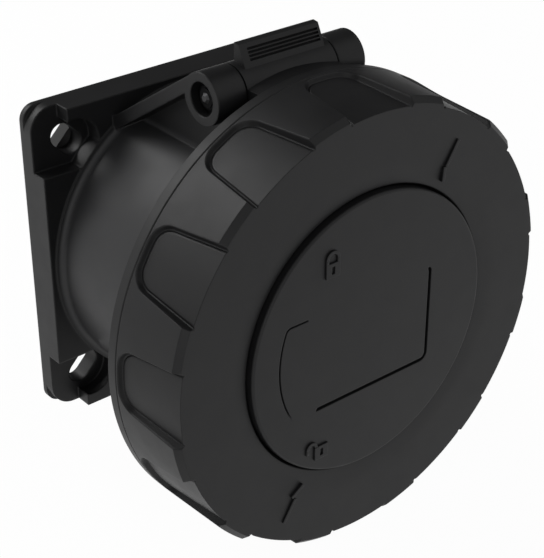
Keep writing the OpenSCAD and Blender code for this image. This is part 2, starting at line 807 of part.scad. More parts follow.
// Outline of the label field: straight on three sides, curved on the fourth
module field_outline() {
    c = field_corner_r;
    w = field_r + field_side;
    intersection() {
        circle(field_r);
        union() {
            translate([-field_r, -field_bottom + c]) square([w, field_top + field_bottom - c]);
            translate([-field_r, -field_bottom]) square([w - c, c]);
            translate([field_side - c, -field_bottom + c]) circle(c);
        }
    }
}

module lid_disc() color(black_plastic) on_axis() difference() {
    edge_z = disc_front - disc_edge_r;
    union() {
        rod(disc_r, disc_z, edge_z);
        rotate_extrude() {
            translate([0, edge_z - weld]) square([disc_r - disc_edge_r, disc_edge_r + weld]);
            translate([disc_r - disc_edge_r, edge_z]) circle(disc_edge_r);
        }
        rod(hub_r, hub_z, disc_z + weld);
    }
    translate([0, 0, disc_front - field_depth]) linear_extrude(field_depth + cut) field_outline();
    at_lid_screws() rod(lid_screw_r + snug, hub_z - cut, disc_z + disc_t / 2);
}

module lid_screws() color(steel) on_axis() at_lid_screws() translate([0, 0, plate_z])
    pan_screw(lid_screw_r, lid_screw_len, 2 * lid_screw_r);

module slip_washer() color(bright_metal) on_axis()
    tube(disc_r - 1, hub_r + ring_run, disc_z - washer_clear - washer_t, disc_z - washer_clear);

// Height of the dished ring face, from zero at the disc to one at the rim
function dish(t) = 1 - pow(1 - t, dish_power);

// Section of the ring before its pockets are cut
module ring_section() {
    steps = 12;
    face_r = land_front_r - ring_chamfer - 0.9;
    face = [for (i = [0:steps]) let (t = i / steps)
        [dish_r + (face_r - dish_r) * t, face_z - dish_rise * (1 - dish(t))]];
    polygon(concat(
        [[hub_r + ring_run, web_z], [hub_r + ring_run, web_top], [dish_r, web_top]],
        face,
        [[land_front_r - ring_chamfer, face_z - 0.2], [land_front_r, face_z - ring_chamfer],
         [ring_r, pocket_back], [ring_r, ring_from + 0.5], [ring_r - 0.5, ring_from],
         [ring_bore_r, ring_from], [ring_bore_r, face_z - face_t], [face_step_r, face_z - face_t],
         [face_step_r, web_z]]
    ));
}

// Outline of a finger pocket, seen from outside the ring
module pocket_outline() {
    round_z = pocket_back + pocket_corner_r;
    straight_w = pocket_back_w - pocket_corner_r;
    polygon([
        [-straight_w, pocket_back], [straight_w, pocket_back], [pocket_back_w, round_z],
        [pocket_front_w, face_z + cut], [-pocket_front_w, face_z + cut], [-pocket_back_w, round_z]
    ]);
    for (s = [-1, 1]) translate([s * straight_w, round_z]) circle(pocket_corner_r);
}

// What the pockets take away: an outline cut inwards down to a conical floor
module ring_pockets() {
    pitch = 360 / pocket_count;
    difference() {
        for (i = [0:pocket_count - 1]) rotate([0, 0, (i - 0.5) * pitch])
            translate([ring_bore_r - weld, 0, 0]) rotate([90, 0, 90])
                linear_extrude(ring_wall + cut) pocket_outline();
        translate([0, 0, pocket_back - cut])
            cylinder(r1 = floor_back_r, r2 = floor_front_r, h = face_z - pocket_back + 3 * cut);
    }
}

module ring_lugs() {
    for (i = [0:lug_count - 1]) rotate([0, 0, lug_angle + i * 360 / lug_count]) intersection() {
        tube(ring_bore_r + weld, lug_in_r, lug_back, lug_back + lug_t);
        translate([0, -lug_w / 2, lug_back - cut]) cube([ring_r, lug_w, lug_t + 2 * cut]);
    }
}

module locking_ring() color(black_plastic) on_axis() {
    rotate([0, 0, pocket_turn + 180 / pocket_count]) difference() {
        rotate_extrude() ring_section();
        ring_pockets();
    }
    ring_lugs();
}

flange_housing();
panel_gasket();
contact_carrier();
terminal_base();
base_seal();
base_screws();
centre_screw();
contact_phase_1();
contact_phase_2();
contact_phase_3();
contact_neutral();
contact_earth();
contact_grip_rings();
terminal_screws();
hinge_pin();
pin_caps();
hinge_spring();
lid_cover();
lid_gasket();
lid_disc();
lid_screws();
slip_washer();
locking_ring();
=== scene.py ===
"""Looks for a packed panel socket: moulded edges, grip ring, raised marks, finishes and a stage."""

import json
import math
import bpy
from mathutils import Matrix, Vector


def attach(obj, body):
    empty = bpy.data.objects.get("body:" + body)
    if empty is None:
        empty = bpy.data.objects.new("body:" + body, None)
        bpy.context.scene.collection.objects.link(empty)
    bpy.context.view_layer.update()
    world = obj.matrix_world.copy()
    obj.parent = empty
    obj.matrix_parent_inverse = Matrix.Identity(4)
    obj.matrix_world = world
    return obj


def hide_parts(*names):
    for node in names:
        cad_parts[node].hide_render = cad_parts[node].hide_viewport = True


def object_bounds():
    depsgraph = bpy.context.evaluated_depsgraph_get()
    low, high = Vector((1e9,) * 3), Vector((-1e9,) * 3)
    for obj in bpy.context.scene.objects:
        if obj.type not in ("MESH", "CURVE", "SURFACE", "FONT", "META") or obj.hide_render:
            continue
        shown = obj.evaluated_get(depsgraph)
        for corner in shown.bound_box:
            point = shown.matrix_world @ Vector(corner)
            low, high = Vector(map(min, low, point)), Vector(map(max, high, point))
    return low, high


bl_info = {
    "name": "Panel Socket Looks",
    "version": (1, 0, 0),
    "blender": (4, 5, 0),
    "location": "3D View > Sidebar > Socket",
    "description": "Dresses the solids of a panel socket with moulded edges, marks, finishes and a stage",
    "category": "Object",
}

import bmesh
import bpy
from mathutils import Matrix, Vector

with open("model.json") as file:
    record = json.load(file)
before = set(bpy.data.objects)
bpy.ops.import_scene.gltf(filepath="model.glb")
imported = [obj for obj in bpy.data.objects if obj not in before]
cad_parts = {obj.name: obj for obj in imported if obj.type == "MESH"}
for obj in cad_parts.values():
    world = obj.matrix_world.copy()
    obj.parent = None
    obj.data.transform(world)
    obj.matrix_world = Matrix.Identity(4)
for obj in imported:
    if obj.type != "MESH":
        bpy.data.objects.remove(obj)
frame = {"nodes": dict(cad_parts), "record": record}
CAD_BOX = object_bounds()
NODES = frame["nodes"]
MM = 0.001

BODIES = frame["record"]["behaviour"]["bodies"]
BODY_OF = {node: body for body, members in BODIES.items() for node in members}
SLOT_OF = {node: obj.material_slots[0].name for node, obj in NODES.items()}


class Wire:
    """A shader socket. Arithmetic on it adds Math nodes."""

    def __init__(self, graph, socket):
        self.graph, self.socket = graph, socket

    def _math(self, operation, first, second):
        return self.graph.add("ShaderNodeMath", {"operation": operation}, {0: first, 1: second})

    def __add__(self, other):
        return self._math("ADD", self, other)

    def __radd__(self, other):
        return self._math("ADD", other, self)

    def __sub__(self, other):
        return self._math("SUBTRACT", self, other)

    def __rsub__(self, other):
        return self._math("SUBTRACT", other, self)

    def __mul__(self, other):
        return self._math("MULTIPLY", self, other)

    def __rmul__(self, other):
        return self._math("MULTIPLY", other, self)

    def above(self, low, high):
        """0 below low, 1 above high, smooth between them."""
        sockets = {"Value": self, "From Min": low, "From Max": high}
        return self.graph.add("ShaderNodeMapRange", {"interpolation_type": "SMOOTHSTEP"}, sockets)


class Graph:
    """The node tree of a material or of the world."""

    def __init__(self, owner):
        owner.use_nodes = True
        self.tree = owner.node_tree
        self.tree.nodes.clear()

    def add(self, kind, settings=None, sockets=None, out=0):
        """A node of that type, given its settings and its sockets' values or links.

        Gives its output, or a list of outputs where out is a tuple of their names.
        """
        node = self.tree.nodes.new(kind)
        for key, value in (settings or {}).items():
            setattr(node, key, value)
        for key, value in (sockets or {}).items():
            if isinstance(value, Wire):
                self.tree.links.new(value.socket, node.inputs[key])
            else:
                node.inputs[key].default_value = value
        if isinstance(out, tuple):
            return [Wire(self, node.outputs[name]) for name in out]
        return Wire(self, node.outputs[out]) if node.outputs else None

    def place(self):
        return self.add("ShaderNodeTexCoord", out="Object")

    def noise(self, size, detail=2.0, place=None):
        """Noise with features of about that size, in metres."""
        sockets = {"Vector": place or self.place(), "Scale": 1 / size, "Detail": detail}
        return self.add("ShaderNodeTexNoise", {"noise_dimensions": "3D"}, sockets, out="Fac")

    def blend(self, share, first, second):
        """A colour that goes from the first to the second."""
        sockets = {"Factor": share, 6: first, 7: second}
        return self.add("ShaderNodeMix", {"data_type": "RGBA"}, sockets, out=2)

    def from_axis(self):
        """Distance from the socket's axis."""
        sockets = {0: self.place(), 1: (1.0, 0.0, 1.0)}
        flat = self.add("ShaderNodeVectorMath", {"operation": "MULTIPLY"}, sockets)
        return self.add("ShaderNodeVectorMath", {"operation": "LENGTH"}, {0: flat}, out="Value")

    def soft_edges(self, width):
        """Normals that turn round an edge over that width."""
        return self.add("ShaderNodeBevel", {"samples": 6}, {"Radius": width})

    def bump(self, height, distance, strength, under=None):
        """Normals with that relief, on top of those given."""
        sockets = {"Height": height, "Distance": distance, "Strength": strength}
        return self.add("ShaderNodeBump", None, {**sockets, **({"Normal": under} if under else {})})

    def mixed(self, share, first, second):
        """A shader that goes from the first to the second."""
        return self.add("ShaderNodeMixShader", None, {0: share, 1: first, 2: second})

    def ends_in(self, kind, shader):
        self.add(kind, None, {"Surface": shader})


def rgba(colour):
    return (*colour, 1.0)


def shade(colour, factor):
    return rgba([min(1.0, c * factor) for c in colour])


def length(name, description, default):
    """A property that holds a length."""
    return bpy.props.FloatProperty(name=name, description=description, default=default, unit="LENGTH")


def tint(name, description, default):
    """A property that holds a colour."""
    return bpy.props.FloatVectorProperty(
        name=name, description=description, default=default, subtype="COLOR"
    )


def angle(name, description, degrees):
    """A property that holds an angle."""
    return bpy.props.FloatProperty(
        name=name, description=description, default=math.radians(degrees), unit="ROTATION"
    )


def watts(name, description, default):
    """A property that holds a lamp's power in watts."""
    return bpy.props.FloatProperty(name=name, description=description, default=default, unit="POWER")


class SocketSizes(bpy.types.PropertyGroup):
    """Sizes of the moulded detail."""

    edge_round: length("Edge round", "Width of the rounding on moulded edges", 0.6 * MM)
    fine_round: length("Fine round", "Width of the rounding on ring, disc and marks", 0.25 * MM)
    groove_round: length("Groove round", "Width of the rounding on lid and thumb tab", 0.04 * MM)
    mould_grain: length("Mould grain", "Size of the grain that the mould leaves", 0.35 * MM)


class SocketColours(bpy.types.PropertyGroup):
    """Colours of the materials."""

    black_plastic: tint("Black plastic", "Housing, lid and ring", (0.0062, 0.0062, 0.0066))
    # Painted light: the tube's outside gets a lighter colour than the black plastic, standing in for
    # light on it
    tube_painted_light: tint("Tube painted light", "Painted light on the housing's tube", (0.026, 0.026, 0.027))
    grey_plastic: tint("Grey plastic", "Contact carrier and base", (0.10, 0.105, 0.11))
    soft_rubber: tint("Rubber", "Gaskets and base seal", (0.012, 0.012, 0.012))
    contact_metal: tint("Contact metal", "Turned contacts and slip washer", (0.78, 0.66, 0.42))
    steel: tint("Steel", "Screws, spring and grip rings", (0.56, 0.57, 0.59))
    dark_steel: tint("Dark steel", "Hinge pin and its caps", (0.005, 0.005, 0.0055))
    worn_steel: tint("Worn steel", "Ends of the hinge pin", (0.06, 0.06, 0.062))


class SocketStage(bpy.types.PropertyGroup):
    """Camera and light."""

    azimuth: angle("Azimuth", "Camera's turn to the left of the front", 39.78)
    elevation: angle("Elevation", "Camera's height as an angle", 29.67)
    distance: length("Distance", "Camera to the aimed point", 0.330)
    aim: bpy.props.FloatVectorProperty(
        name="Aim",
        description="Point that the camera looks at",
        default=(0.00192, -0.03636, -0.00296),
        subtype="XYZ",
    )
    key_watts: watts("Key light", "Power of the light above and behind", 5.2)
    fill_watts: watts("Front fill", "Power of the large light in front", 8.5)
    right_watts: watts("Right fill", "Power of the large light at the right", 9.0)
    low_watts: watts("Low fill", "Power of the small low light at the front left", 2.2)
    window_watts: watts("Window", "Power of the light at the left rear", 2.8)
    sky: bpy.props.FloatProperty(
        name="Sky", description="Brightness of the room", default=0.11, subtype="FACTOR"
    )


def settings():
    """The scene's sizes, colours and stage values."""
    scene = bpy.context.scene
    return scene.socket_sizes, scene.socket_colours, scene.socket_stage


def piece(name, mesh_source, body, slot, replaced=(), finish=None):
    """A finished piece from a bmesh, on its body, in its finish and in place of the replaced nodes."""
    mesh = bpy.data.meshes.new(name)
    mesh_source.to_mesh(mesh)
    mesh_source.free()
    if "custom_normal" in mesh.attributes:
        mesh.attributes.remove(mesh.attributes["custom_normal"])
    obj = bpy.data.objects.new(name, mesh)
    bpy.context.scene.collection.objects.link(obj)
    mesh.materials.append(bpy.data.materials[finish or FINISH_NAMES[slot]])
    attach(obj, body)
    if replaced:
        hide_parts(*replaced)
    return obj


# Points nearer than this are joined, faces within this angle are one, and edges over this one are sharp
WELD, FLAT_WITHIN, SHARP_FROM = 0.002 * MM, math.radians(0.6), math.radians(26)


def merged_copy(node):
    """A bmesh of a CAD node with its loose triangles joined and flat areas dissolved."""
    bm = bmesh.new()
    bm.from_mesh(NODES[node].data)
    bmesh.ops.remove_doubles(bm, verts=bm.verts, dist=WELD)
    bmesh.ops.dissolve_limit(
        bm, angle_limit=FLAT_WITHIN, verts=bm.verts, edges=bm.edges, use_dissolve_boundaries=False
    )
    return bm


def shaded(obj):
    """Smooth shading that breaks at sharp edges and stays flat on flat faces."""
    for poly in obj.data.polygons:
        poly.use_smooth = True
    obj.data.set_sharp_from_angle(angle=SHARP_FROM)
    flat = obj.modifiers.new("Flat faces", "WEIGHTED_NORMAL")
    flat.mode, flat.weight, flat.keep_sharp = "FACE_AREA", 50, True
    return obj


def redrawn(node, name, finish=None, reshape=None):
    """A CAD node with its triangles joined, shaded smooth between its edges."""
    bm = merged_copy(node)
    if reshape:
        reshape(bm)
    return shaded(piece(name, bm, BODY_OF[node], SLOT_OF[node], (node,), finish))


# Modelling frame of the hand-built pieces: x right, y up, z out of the panel, in millimetres
TO_ROW = Matrix.Rotation(math.radians(90), 4, "X") @ Matrix.Scale(MM, 4)
# How near counts as one point in a finished shell and between sectors, as on a cut, and as one height
CLOSE, SECTOR_CLOSE, ON_CUT, SAME_HEIGHT = 0.004, 0.003, 0.0005, 0.002


def into_row(bm):
    """Closes a hand-built shell and turns it from the modelling frame into the row's frame, in metres."""
    bmesh.ops.remove_doubles(bm, verts=bm.verts, dist=CLOSE)
    bmesh.ops.recalc_face_normals(bm, faces=bm.faces)
    bmesh.ops.transform(bm, matrix=TO_ROW, verts=bm.verts)
    return bm


def new_verts(out):
    """The vertices in an operator's result."""
    return [g for g in out if isinstance(g, bmesh.types.BMVert)]


def round_axis(point, radius, forward):
    """The same direction from the axis, at another radius and height."""
    away = Vector((point.x, point.y, 0)).normalized() * radius
    return Vector((away.x, away.y, forward))


def draw_on(bm, edges, profile):
    """Extrudes a loop round the axis through (radius, forward) points and gives its last edges."""
    for radius, forward in profile:
        out = bmesh.ops.extrude_edge_only(bm, edges=edges)["geom"]
        edges = [g for g in out if isinstance(g, bmesh.types.BMEdge) and g.is_boundary]
        for vert in new_verts(out):
            vert.co = round_axis(vert.co, radius, forward)
    return edges


def cut_across(bm, axis, places):
    """Straight cuts across a flat sheet."""
    normal = Vector((0, 0, 0))
    normal[axis] = 1
    for place in places:
        geom = bm.verts[:] + bm.edges[:] + bm.faces[:]
        bmesh.ops.bisect_plane(bm, geom=geom, plane_co=normal * place, plane_no=normal, dist=ON_CUT)


def round_corner(bm, at, radius, segments):
    """Rounds the corner of a flat face that stands at a point."""
    corner = min(bm.verts, key=lambda v: (v.co.xy - Vector(at)).length)
    bmesh.ops.bevel(
        bm, geom=[corner], offset=radius, segments=segments, profile=0.5, affect="VERTICES", material=-1
    )


def between(value, low, high, first, last):
    """Straight line between two points, held level outside them."""
    share = min(1.0, max(0.0, (value - low) / (high - low)))
    return first + (last - first) * share


FINISH_NAMES = {
    "black_plastic": "Black moulded plastic",
    "grey_plastic": "Grey moulded plastic",
    "soft_rubber": "Seal rubber",
    "contact_metal": "Turned contact brass",
    "steel": "Zinc-plated steel",
}
DARK_STEEL = "Blackened steel"
WORN_STEEL = "Worn steel"
CRISP_PLASTIC = "Black plastic with crisp edges"
SHARP_PLASTIC = "Black plastic with grooves"
BLACKENED = ("hinge_pin", "pin_caps")
# Sizes of the patterns in the finishes: in plastic, in rubber and in metal
HAZE, CLOUD = 14 * MM, 4 * MM
BLOOM, RUBBER_GRAIN = 6 * MM, 0.5 * MM
TURNING, STAIN = 1.6 * MM, 3 * MM
# How much finer the lines of turning are along the socket's axis than across it
TURNING_SQUEEZE = (1.0, 9.0, 1.0)


def moulded_plastic(graph, colour, edge, roughness=0.40):
    """Spark-eroded mould surface: fine grain, slow changes of gloss and a little handling haze."""
    place = graph.place()
    haze = graph.noise(HAZE, 3.0, place).above(0.42, 0.72)
    fine = graph.noise(settings()[0].mould_grain, 3.0, place)
    cloud = graph.noise(CLOUD, 4.0, place)
    return {
        "Base Color": graph.blend(haze * 0.5 + fine * 0.3, shade(colour, 0.85), shade(colour, 1.35)),
        "Roughness": roughness + cloud * 0.10 + haze * 0.04,
        "Specular IOR Level": 0.24,
        "Normal": graph.bump(fine + cloud * 0.6, 0.02 * MM, 0.35, graph.soft_edges(edge)),
    }


def rubber(graph, colour):
    """Soft seal rubber with a grey bloom."""
    place = graph.place()
    bloom = graph.noise(BLOOM, 4.0, place)
    return {
        "Base Color": graph.blend(bloom.above(0.35, 0.75), shade(colour, 0.8), shade(colour, 1.8)),
        "Roughness": 0.62 + bloom * 0.2,
        "Normal": graph.bump(graph.noise(RUBBER_GRAIN, 3.0, place), 0.03 * MM, 0.4),
    }


def metal(graph, colour, roughness):
    """Turned or plated metal: fine lines across the socket's axis and faint stains."""
    place = graph.place()
    turned = graph.add("ShaderNodeMapping", None, {"Vector": place, "Scale": TURNING_SQUEEZE})
    lines = graph.noise(TURNING, 2.0, turned)
    stain = graph.noise(STAIN, 4.0, place).above(0.45, 0.8)
    return {
        "Base Color": graph.blend(stain * 0.6, rgba(colour), shade(colour, 0.72)),
        "Roughness": roughness + lines * 0.12 + stain * 0.1,
        "Normal": graph.bump(lines, 0.015 * MM, 0.3),
        "Metallic": 1.0,
    }


# Distances from the axis over which the painted light on the tube's outside ends, in metres
PAINTED_LIGHT_TO, PAINTED_LIGHT_GONE = 35.2 * MM, 36.3 * MM


def housing_plastic(graph, colours, edge):
    """The housing's plastic, with painted light: a lighter colour on the outside of the tube."""
    sockets = moulded_plastic(graph, colours.black_plastic, edge)
    # Painted light: lighter colour on the tube's outside, fading out away from the axis
    painted_light = 1 - graph.from_axis().above(PAINTED_LIGHT_TO, PAINTED_LIGHT_GONE)
    sockets["Base Color"] = graph.blend(painted_light, sockets["Base Color"], rgba(colours.tube_painted_light))
    return sockets


class SOCKET_OT_finishes(bpy.types.Operator):
    """Make the finishes and put them on every CAD node"""

    bl_idname = "socket.finishes"
    bl_label = "Finishes"

    def execute(self, context):
        sizes, colours, _ = settings()
        black = colours.black_plastic
        makers = {
            "black_plastic": lambda g: housing_plastic(g, colours, sizes.edge_round),
            "grey_plastic": lambda g: moulded_plastic(g, colours.grey_plastic, sizes.edge_round, 0.42),
            "soft_rubber": lambda g: rubber(g, colours.soft_rubber),
            "contact_metal": lambda g: metal(g, colours.contact_metal, 0.2),
            "steel": lambda g: metal(g, colours.steel, 0.24),
            DARK_STEEL: lambda g: metal(g, colours.dark_steel, 0.5),
            WORN_STEEL: lambda g: metal(g, colours.worn_steel, 0.4),
            CRISP_PLASTIC: lambda g: moulded_plastic(g, black, sizes.fine_round),
            SHARP_PLASTIC: lambda g: moulded_plastic(g, black, sizes.groove_round),
        }
        for slot, make in makers.items():
            material = bpy.data.materials.new(FINISH_NAMES.get(slot, slot))
            graph = Graph(material)
            shader = graph.add("ShaderNodeBsdfPrincipled", None, {"IOR": 1.5, **make(graph)})
            graph.ends_in("ShaderNodeOutputMaterial", shader)
        for node, obj in NODES.items():
            name = DARK_STEEL if node in BLACKENED else FINISH_NAMES[SLOT_OF[node]]
            for material_slot in obj.material_slots:
                material_slot.material = bpy.data.materials[name]
        return {"FINISHED"}


class SOCKET_OT_housing(bpy.types.Operator):
    """Redraw the flange housing with smooth curves"""

    bl_idname = "socket.housing"
    bl_label = "Flange housing"

    def execute(self, context):
        redrawn("flange_housing", "housing_moulding")
        return {"FINISHED"}


# The thumb tab's sloping front, in metres: its upper edge, the way down it and the way out of it
TAB_EDGE = Vector((0, -40.8, 56.3)) * MM
TAB_DOWN, TAB_OUT = Vector((0, -0.4432, -0.8964)), Vector((0, -0.8964, 0.4432))
GROOVES, GROOVE_FIRST, GROOVE_PITCH = 4, 1.2 * MM, 0.75 * MM
# How far from its axis a groove's wall lies at most, and what its depth gains, as a share of that depth
GROOVE_REACH, GROOVE_DEEPER = 0.27 * MM, 1.8


def deeper_grooves(bm):
    """Draws the grip grooves of the thumb tab deeper into it."""
    axes = [TAB_EDGE + TAB_DOWN * (GROOVE_FIRST + GROOVE_PITCH * i) for i in range(GROOVES)]
    for vert in bm.verts:
        for axis in axes:
            away = vert.co - axis
            away.x = 0
            depth = away.dot(TAB_OUT)
            if away.length < GROOVE_REACH and depth < 0:
                vert.co += TAB_OUT * depth * GROOVE_DEEPER


class SOCKET_OT_lid(bpy.types.Operator):
    """Redraw the hinged lid with smooth curves and deep grip grooves"""

    bl_idname = "socket.lid"
    bl_label = "Hinged lid"

    def execute(self, context):
        redrawn("lid_cover", "lid_moulding", SHARP_PLASTIC, deeper_grooves)
        return {"FINISHED"}


# Steps of the front disc, in millimetres. It widens a little from its front to its back
DISC_R, DISC_SHOULDER, DISC_FRONT = 31.6, 0.65, 70.7
DISC_BACK_R, DISC_BACK, DISC_DRAFT_H = 31.95, 67.6, 1.0
HUB_R, HUB_BACK = 25.6, 65.0
# Sides of the disc's rim, and how far round its shoulder the points stand, in degrees
DISC_STEPS, SHOULDER_TURNS = 144, range(12, 91, 13)
# The label field: an arc of that radius at the left, straight lines at the other sides
FIELD_R, FIELD_RIGHT, FIELD_TOP, FIELD_BOTTOM = 24.9, 16.7, 9.9, -13.0
FIELD_CORNER, FIELD_LOW_RIGHT_CORNER, CORNER_STEPS, ARC_CUTS = 1.0, 2.0, 6, 19
# Where its groove ends at the top, starts at the bottom and starts on the arc, and how fast it fades
TOP_LINE_TO, BOTTOM_LINE_FROM, ARC_LINE_FROM, LINE_FADE = -17.5, -14.8, -12.3, 0.3
# How near the right side, and the top or bottom, a point belongs to it, and where the top is flush again
RIGHT_LINE_REACH, LEVEL_LINE_REACH, TOP_LINE_FREE = 0.9, 1.5, 1.4
FLUSH = 0.0
# Bands from the edge of the field inwards: width, depth at the bottom and right, depth at the arc
FIELD_BANDS = ((0.05, 1.15, 0.55), (0.33, 1.15, 0.5), (0.06, 1.0, FLUSH), (0.40, FLUSH, FLUSH))


def field_left(y):
    return -math.sqrt(FIELD_R**2 - y**2)


def line_depth(x, y, deep, fine):
    """Depth of the groove round the field at a point: deep at the bottom and right, fine at the arc."""
    if x > FIELD_RIGHT - RIGHT_LINE_REACH:
        return deep
    if y > FIELD_TOP - LEVEL_LINE_REACH:
        return fine if x < TOP_LINE_TO else FLUSH
    if y < FIELD_BOTTOM + LEVEL_LINE_REACH:
        return deep if x > BOTTOM_LINE_FROM else FLUSH
    return fine if y > ARC_LINE_FROM else FLUSH


def label_field(bm):
    """The outline of the label field as one face, with its curved side and rounded corners."""
    low_left, low_right = (field_left(FIELD_BOTTOM), FIELD_BOTTOM), (FIELD_RIGHT, FIELD_BOTTOM)
    top_left, top_right = (field_left(FIELD_TOP), FIELD_TOP), (FIELD_RIGHT, FIELD_TOP)
    ends = [
        top_left,
        low_left,
        (BOTTOM_LINE_FROM - LINE_FADE / 2, FIELD_BOTTOM),
        (BOTTOM_LINE_FROM + LINE_FADE / 2, FIELD_BOTTOM),
        low_right,
        top_right,
        (FIELD_RIGHT - TOP_LINE_FREE, FIELD_TOP),
        (TOP_LINE_TO + LINE_FADE / 2, FIELD_TOP),
        (TOP_LINE_TO - LINE_FADE / 2, FIELD_TOP),
    ]
    corners = [bm.verts.new((x, y, DISC_FRONT)) for x, y in ends]
    bm.faces.new(corners)
    curved = bm.edges.get(corners[:2])
    out = bmesh.ops.subdivide_edges(bm, edges=[curved], cuts=ARC_CUTS)["geom_inner"]
    for vert in new_verts(out):
        vert.co.x = field_left(vert.co.y)
    round_corner(bm, top_left, FIELD_CORNER, CORNER_STEPS)
    round_corner(bm, low_right, FIELD_LOW_RIGHT_CORNER, CORNER_STEPS)
    round_corner(bm, top_right, FIELD_CORNER, CORNER_STEPS)
    return bm.faces[:][0]


def disc_shell():
    """The front disc: flat face, sunk label field, round shoulder and the hub behind."""
    bm = bmesh.new()
    field = label_field(bm)
    outline = field.edges[:]
    flat_r = DISC_R - DISC_SHOULDER
    rim = bmesh.ops.create_circle(bm, segments=DISC_STEPS, radius=flat_r)["verts"]
    bmesh.ops.translate(bm, verts=rim, vec=(0, 0, DISC_FRONT))
    rim_edges = [edge for edge in bm.edges if edge not in outline]
    bmesh.ops.triangle_fill(bm, edges=outline + rim_edges, normal=(0, 0, 1), use_beauty=True)
    for thickness, deep, fine in FIELD_BANDS:
        bmesh.ops.inset_region(bm, faces=[field], thickness=thickness, use_even_offset=True)
        for vert in field.verts:
            vert.co.z = DISC_FRONT - line_depth(vert.co.x, vert.co.y, deep, fine)
    shoulder = []
    for turn in map(math.radians, SHOULDER_TURNS):
        fall = DISC_SHOULDER * (1 - math.cos(turn))
        shoulder.append((flat_r + DISC_SHOULDER * math.sin(turn), DISC_FRONT - fall))
    behind = [
        (DISC_R, DISC_BACK + DISC_DRAFT_H),
        (DISC_BACK_R, DISC_BACK),
        (HUB_R, DISC_BACK),
        (HUB_R, HUB_BACK),
    ]
    last = draw_on(bm, rim_edges, shoulder + behind)
    bmesh.ops.edgeloop_fill(bm, edges=last)
    return into_row(bm)


BAR_ROUND, BOW_STEPS = 0.08, 14


def bar(bm, start, end, width, low, high):
    """A raised straight stroke on a front face."""
    start, end = Vector(start), Vector(end)
    along = end - start
    place = Matrix.Translation((*((start + end) / 2), (low + high) / 2))
    turn = Matrix.Rotation(math.atan2(along.y, along.x), 4, "Z")
    size = Matrix.Diagonal((along.length, width, high - low, 1))
    verts = bmesh.ops.create_cube(bm, size=1.0, matrix=place @ turn @ size)["verts"]
    top = [v for v in verts if v.co.z > (low + high) / 2]
    edges = [edge for edge in bm.edges if edge.verts[0] in top and edge.verts[1] in top]
    bmesh.ops.bevel(
        bm, geom=edges, offset=BAR_ROUND, segments=2, profile=0.5, affect="EDGES", material=-1
    )


def bow(bm, centre, radius, width, turn, sweep, low, high):
    """A raised curved stroke on a front face, from one angle on through a sweep, in degrees."""
    cx, cy = centre
    start_at = math.radians(turn)
    inner, outer = radius - width / 2, radius + width / 2
    section = [
        bm.verts.new((cx + math.cos(start_at) * r, cy + math.sin(start_at) * r, z))
        for r, z in ((inner, low), (outer, low), (outer, high), (inner, high))
    ]
    start = bm.faces.new(section)
    bmesh.ops.spin(
        bm,
        geom=[start, *start.edges, *start.verts],
        cent=(cx, cy, 0),
        axis=(0, 0, 1),
        angle=math.radians(sweep),
        steps=BOW_STEPS,
        use_merge=False,
    )


def plate(bm, centre, half, hole, low, high):
    """A raised plate with an upright slot through it."""
    place = Matrix.Translation((*centre, low)) @ Matrix.Diagonal((*half, 1, 1))
    corners = bmesh.ops.create_grid(bm, x_segments=1, y_segments=1, size=1.0, matrix=place)["verts"]
    inner = corners[0].link_faces[0]
    rim = bmesh.ops.inset_region(bm, faces=[inner], use_boundary=True, thickness=half[0] / 2)["faces"]
    for vert in inner.verts:
        for axis in (0, 1):
            vert.co[axis] = centre[axis] + math.copysign(hole[axis], vert.co[axis] - centre[axis])
    bmesh.ops.delete(bm, geom=[inner], context="FACES_ONLY")
    for vert in new_verts(bmesh.ops.extrude_face_region(bm, geom=rim)["geom"]):
        vert.co.z = high


# The closed and the open padlock: centre of the body, half sizes of body and keyhole, width of the bow
CLOSED_AT, OPEN_AT = (-11.4, 19.0), (-13.6, -23.4)
PADLOCK_HALF, KEYHOLE_HALF, BOW_LINE = (1.8, 1.6), (0.42, 0.85), 0.7
MARK_LOW, MARK_HIGH = DISC_FRONT - 0.1, DISC_FRONT + 0.4
# Rise of the bow's centre over the body, and of the open bow also its radius and the drop of its free leg
CLOSED_RISE, OPEN_RISE, OPEN_BOW_R, FREE_LEG = 0.9, 0.13, 1.13, 1.1


def padlock(bm, centre, open_bow):
    """A generic padlock: raised body with a keyhole, and a bow that is closed or swung out."""
    x, y = centre
    wide, tall = PADLOCK_HALF
    top, inset = y + tall, wide - BOW_LINE / 2
    plate(bm, centre, PADLOCK_HALF, KEYHOLE_HALF, MARK_LOW, MARK_HIGH)
    if open_bow:
        bow_r, foot, right_leg, free_end = OPEN_BOW_R, top + OPEN_RISE, x - inset, top - FREE_LEG
    else:
        bow_r, foot, right_leg, free_end = inset, top + CLOSED_RISE, x + inset, top
    middle = right_leg - bow_r
    bow(bm, (middle, foot), bow_r, BOW_LINE, 0, 180, MARK_LOW, MARK_HIGH)
    for leg, end in ((middle - bow_r, free_end), (right_leg, top)):
        bar(bm, (leg, end), (leg, foot), BOW_LINE, MARK_LOW, MARK_HIGH)


class SOCKET_OT_disc(bpy.types.Operator):
    """Build the front disc and raise the padlock marks on it"""

    bl_idname = "socket.disc"
    bl_label = "Front disc"

    def execute(self, context):
        body, slot = BODY_OF["lid_disc"], SLOT_OF["lid_disc"]
        shaded(piece("disc_moulding", disc_shell(), body, slot, ("lid_disc",), CRISP_PLASTIC))
        bm = bmesh.new()
        padlock(bm, CLOSED_AT, False)
        padlock(bm, OPEN_AT, True)
        shaded(piece("padlock_marks", into_row(bm), body, slot, finish=CRISP_PLASTIC))
        return {"FINISHED"}


# Hexagonal ends of the hinge pin: radius at foot and tip, height, and how deep the foot is sunk
PIN_FOOT_R, PIN_TIP_R, PIN_END_H, PIN_END_SUNK = 1.3 * MM, 0.7 * MM, 0.6 * MM, 0.1 * MM


